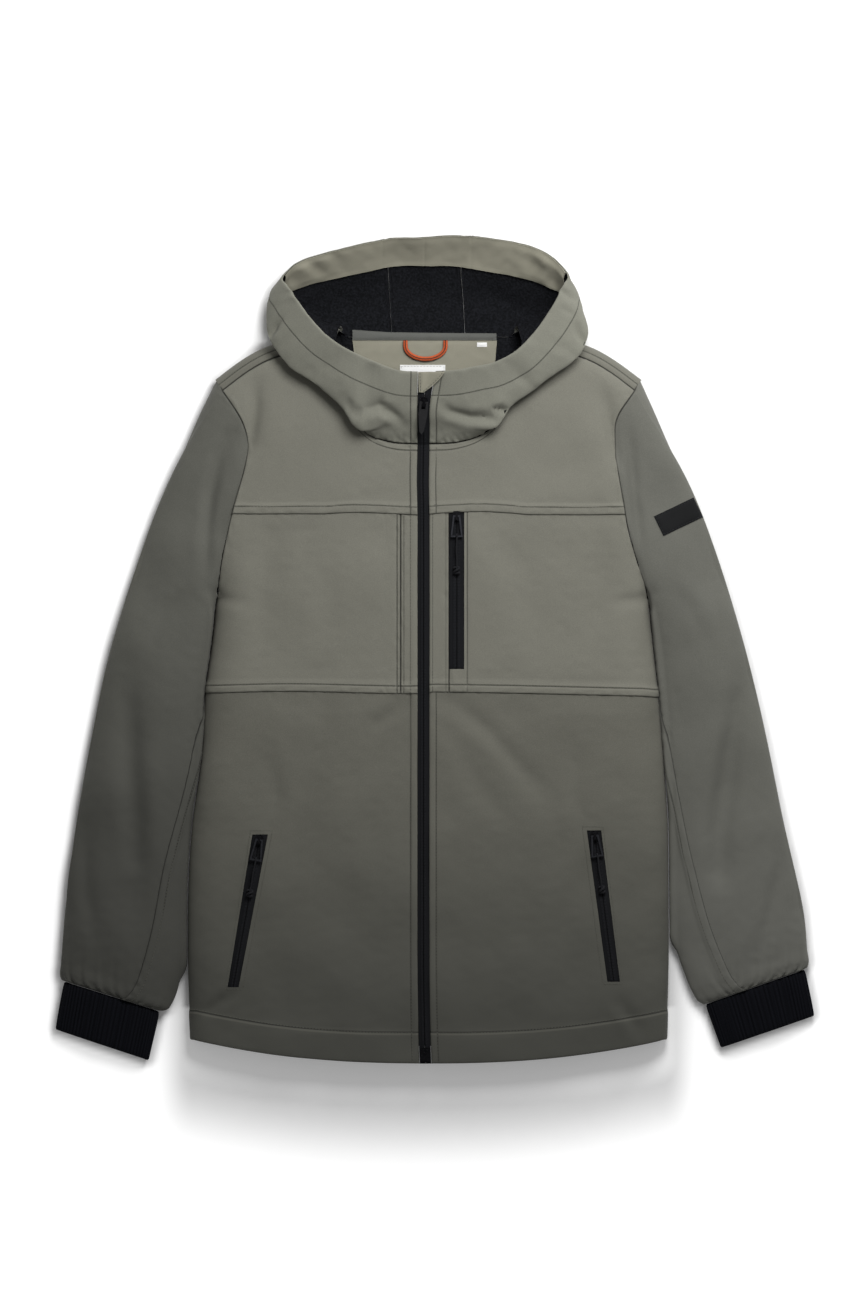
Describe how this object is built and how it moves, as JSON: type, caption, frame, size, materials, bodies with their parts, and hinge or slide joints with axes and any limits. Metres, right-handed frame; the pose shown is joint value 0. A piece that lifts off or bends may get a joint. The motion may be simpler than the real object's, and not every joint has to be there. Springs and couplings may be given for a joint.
{
  "type": "hooded softshell jacket",
  "caption": "Hooded softshell jacket, zipped up and laid flat on its back, with ribbed cuffs, zipped chest and hand pockets and a rolled hood.",
  "frame": {"origin": "on the back panel's flat underside, on the jacket's centre line, about half way between hem and hood", "axes": "+X to the wearer's left, +Y from hem to hood, +Z out of the surface that the jacket lies on"},
  "size_m": [0.758, 0.8265, 0.0621],
  "materials": {
    "shell": "matt woven softshell, grey olive",
    "shell_lower": null,
    "shell_sleeve": "matt woven softshell, grey olive",
    "shell_hood": "matt woven softshell, grey olive, outside with black fleece inside",
    "rib": "black stretch rib",
    "facing": "olive facing cloth",
    "zip_tape": "black zip tape",
    "zip_black": "black painted",
    "zip_silver": "plain silver",
    "cord": "black round cord",
    "neck_tape": "grey woven tape",
    "label": "white woven, blank",
    "loop": "orange cord",
    "badge": "black, bare"
  },
  "bodies": {
    "jacket": {"front_yoke_r": "shell", "front_yoke_l": "shell", "front_chest_r": "shell", "front_chest_l": "shell", "chest_strip_r": "shell", "chest_strip_l": "shell", "front_lower_r": "shell_lower", "front_lower_l": "shell_lower", "back": "shell", "sleeve_top_r": "shell_sleeve", "sleeve_top_l": "shell_sleeve", "sleeve_under_r": "shell_sleeve", "sleeve_under_l": "shell_sleeve", "cuff_r": "rib", "cuff_l": "rib", "hood_side_r": "shell_hood", "hood_centre": "shell_hood", "hood_side_l": "shell_hood", "main_zip_tape_r": "zip_tape", "main_zip_tape_l": "zip_tape", "main_zip_slider": "zip_black", "main_zip_box": "zip_silver", "chest_zip_tape": "zip_tape", "chest_zip_slider": "zip_black", "hand_zip_r_tape": "zip_tape", "hand_zip_r_slider": "zip_black", "hand_zip_l_tape": "zip_tape", "hand_zip_l_slider": "zip_black", "neck_tape": "neck_tape", "back_neck_facing": "facing", "neck_label": "label", "size_tab": "label", "hanger_loop": "loop", "hood_facing": "facing", "chin_flap": "facing", "sleeve_badge": "badge"},
    "main_zip_puller": {"main_zip_pull": "zip_black"},
    "chest_zip_puller": {"chest_zip_pull": "zip_silver", "chest_zip_cord": "cord"},
    "hand_zip_r_puller": {"hand_zip_r_pull": "zip_silver", "hand_zip_r_cord": "cord"},
    "hand_zip_l_puller": {"hand_zip_l_pull": "zip_silver", "hand_zip_l_cord": "cord"}
  },
  "joints": [
    {"name": "main_zip_pull_turn", "type": "hinge", "parent": "jacket", "child": "main_zip_puller", "pos_m": [-0.00456, 0.2452, 0.05726], "axis": [-0.9967, 0.0733, 0.0343], "range_deg": [0, 150]},
    {"name": "chest_zip_pull_turn", "type": "hinge", "parent": "jacket", "child": "chest_zip_puller", "pos_m": [0.02806, 0.13255, 0.0369], "axis": [-1, 0, 0.003], "range_deg": [0, 150]},
    {"name": "hand_zip_r_pull_turn", "type": "hinge", "parent": "jacket", "child": "hand_zip_r_puller", "pos_m": [-0.16891, -0.19045, 0.03383], "axis": [-0.9846, 0.1747, -0.0078], "range_deg": [0, 150]},
    {"name": "hand_zip_l_pull_turn", "type": "hinge", "parent": "jacket", "child": "hand_zip_l_puller", "pos_m": [0.1659, -0.18639, 0.03399], "axis": [-0.9914, -0.1289, 0.0215], "range_deg": [0, 150]}
  ]
}
